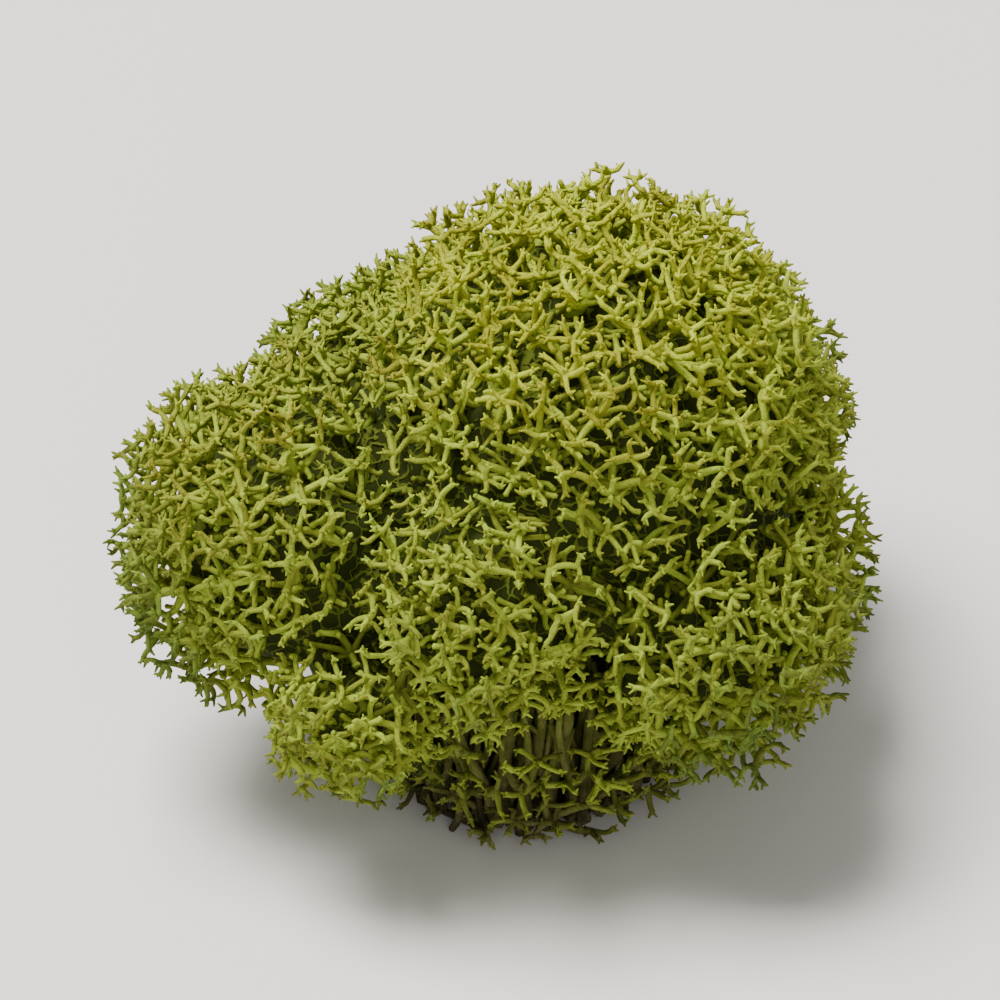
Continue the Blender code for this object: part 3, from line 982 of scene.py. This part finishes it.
def buildTuft(material):
    # Stalks on a golden-angle spiral over the foot, each rising to its place in the top's spiral
    settings = tuftSettings
    count = settings["stalks"]
    share = np.sqrt((np.arange(count) + 0.5) / count)
    turns = goldenTurns(count)
    layout = np.stack([np.cos(turns), np.sin(turns), np.zeros(count)], axis=1) * share[:, None]
    layout = layout[share > settings["shown"]]
    count = len(layout)
    flat = np.array([1.0, 1.0, 0.0])
    radius = random.uniform(*settings["radius"], count)
    lowest = radius * 0.6
    starts = layout * settings["footRadius"] + stray(count, settings["footStray"]) * flat
    starts[:, 2] = lowest + np.maximum(random.normal(*settings["footLift"], count), 0.0)
    ends = layout * settings["topRadius"] + stray(count, settings["topStray"]) * flat
    ends[:, 2] = settings["topHeight"] + random.normal(0, settings["topStray"], count)
    twist = np.cross(up, layout) * random.normal(*settings["twist"], (count, 1))
    bendLow = starts + up * settings["pull"] + stray(count, settings["lean"]) * flat + twist * 0.5
    bendHigh = ends - up * settings["pull"] + stray(count, settings["lean"]) * flat - twist * 0.5
    rings = 10
    paths = curvePaths(starts, bendLow, bendHigh, ends, rings)
    outside = np.linalg.norm(paths[:, :, :2], axis=2, keepdims=True)
    limit = settings["topRadius"] + 0.6
    paths[:, :, :2] *= np.minimum(1.0, limit / np.maximum(outside, 1e-6))
    paths[:, :, 2] = np.maximum(paths[:, :, 2], lowest[:, None])
    t = np.linspace(0, 1, rings)[None]
    radii = radius[:, None] * (1.12 - 0.3 * t) * random.uniform(*settings["uneven"], (count, rings))
    shade = random.uniform(0, 1, count)[:, None]
    stalks = tubes(paths, radii, 6, {"depth": 1 - 0.5 * t, "shade": shade})
    return makePiece("stalkTuft", [stalks, tuftPlug()], [material], "stalk_tuft")


def tuftPlug():
    # The dark middle that the stalks stand round: an upright tube with nearly flat ends
    rings = 6
    heights = np.linspace(0.15, tuftSettings["topHeight"] - 0.6, rings)
    path = np.stack([np.zeros(rings), np.zeros(rings), heights], axis=1)[None]
    radii = np.full((1, rings), tuftSettings["footRadius"] - tuftSettings["plugInset"])
    return tubes(path, radii, 48, {"depth": 1.0, "shade": 0.0}, cap=0.02)


# The floor, the lights and the camera

studio = {
    "floorColour": (0.80, 0.785, 0.76),
    "worldColour": (1.0, 0.99, 0.97),
    "worldStrength": 0.32,
    "lights": {
        # place and size in metres, power in watts and colour of each
        "keyLight": ((-0.20, 0.02, 0.65), 0.34, 10.4, (1.0, 0.98, 0.94)),
        "fillLight": ((0.10, -0.65, 0.35), 0.50, 1.4, (1.0, 0.99, 0.97)),
    },
    "lightsAim": (0, 0, 0.015),    # metres
    "aim": (-0.9, 1.4, 16.2),      # mm, the middle of the picture
    "elevation": 37.2,             # degrees, the photograph's own
    "distance": 780.0,             # mm
    "frameWidth": 53.0,            # mm across the picture at the clump
    "sensor": 36.0,
}


def buildFloor():
    mesh = bpy.data.meshes.new("floor")
    reach = 1.6   # metres from the middle to each side
    corners = [(-reach, -reach, 0), (reach, -reach, 0), (reach, reach, 0), (-reach, reach, 0)]
    mesh.from_pydata(corners, [], [(0, 1, 2, 3)])
    material = bpy.data.materials.new("paleFloor")
    material.use_nodes = True
    shader = material.node_tree.nodes["Principled BSDF"]
    shader.inputs["Base Color"].default_value = (*studio["floorColour"], 1.0)
    shader.inputs["Roughness"].default_value = 0.9
    mesh.materials.append(material)
    addObject("floor", mesh)


def addAimed(name, data, place, way):
    # A new object at this place, turned to look this way
    added = addObject(name, data)
    added.location = place
    added.rotation_euler = way.to_track_quat("-Z", "Y").to_euler()
    return added


def addSoftLight(name, place, size, power, colour):
    # A square lamp, in metres, turned to the clump
    lamp = bpy.data.lights.new(name, "AREA")
    lamp.size = size
    lamp.energy = power
    lamp.color = colour
    addAimed(name, lamp, place, Vector(studio["lightsAim"]) - Vector(place))


def buildStudio():
    buildFloor()
    world = bpy.data.worlds.new("studioWorld")
    bpy.context.scene.world = world
    world.use_nodes = True
    background = world.node_tree.nodes["Background"]
    background.inputs["Color"].default_value = (*studio["worldColour"], 1.0)
    background.inputs["Strength"].default_value = studio["worldStrength"]
    for name, light in studio["lights"].items():
        addSoftLight(name, *light)


def placeCamera():
    # Looks along +Y from the photograph's elevation
    aim = Vector(studio["aim"]) * mm
    tilt = math.radians(studio["elevation"])
    camera = bpy.data.cameras.new("camera")
    camera.sensor_width = studio["sensor"]
    camera.lens = studio["sensor"] * studio["distance"] / studio["frameWidth"]
    camera.clip_start = 0.05
    back = Vector((0, -math.cos(tilt), math.sin(tilt)))
    bpy.context.scene.camera = addAimed("camera", camera, aim + back * studio["distance"] * mm, -back)


placeCamera()
lichenBranches = lichenMaterial()
lichenMiddle = middleMaterial()
oldStalks = stalkMaterial()
allFaces = sum(buildHead(headName, lichenBranches, lichenMiddle) for headName in headSpheres)
allFaces += buildTuft(oldStalks)
allFaces += buildSkirt(oldStalks)
buildStudio()
print(f"studio and camera are in place, with {allFaces} triangles in all")
